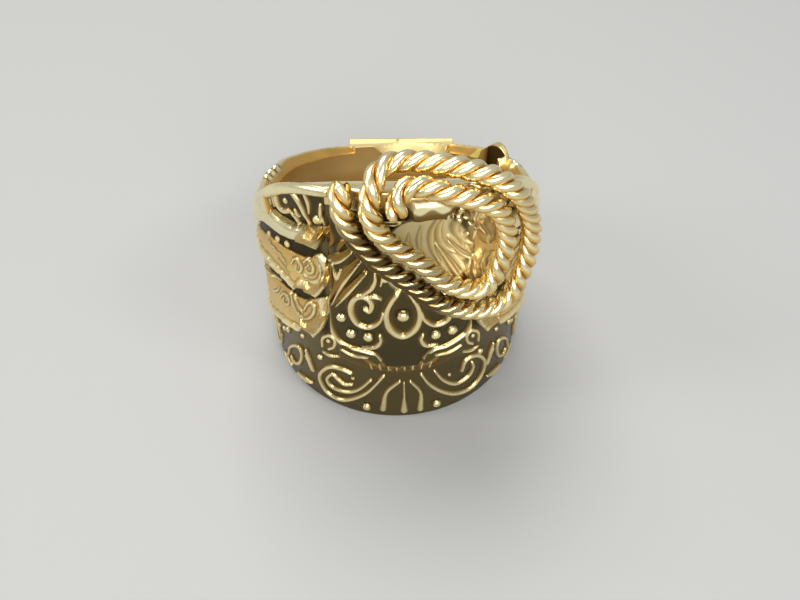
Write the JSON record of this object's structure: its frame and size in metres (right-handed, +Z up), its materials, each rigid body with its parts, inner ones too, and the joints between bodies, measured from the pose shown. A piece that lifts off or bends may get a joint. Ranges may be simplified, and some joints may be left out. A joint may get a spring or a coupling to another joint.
{
  "type": "saddle ring",
  "caption": "Wide cast finger ring with a western saddle front, flapped shoulders, raised scrollwork, a coiled lariat over the seat and a flat plate at the back.",
  "frame": {"origin": "on the axis of the finger hole, in the plane of the foot rim that the ring lies on", "axes": "+Z up along the finger hole's axis, -Y towards the saddle's front, +X to the right seen from the front"},
  "size_m": [0.0242, 0.0266, 0.0296],
  "materials": {
    "cast_gold": "polished 9 carat yellow gold with darker hollows",
    "rope_gold": "bright polished 9 carat yellow gold"
  },
  "bodies": {
    "root": {"saddle_ring": "cast_gold", "lariat": "rope_gold"}
  },
  "joints": []
}
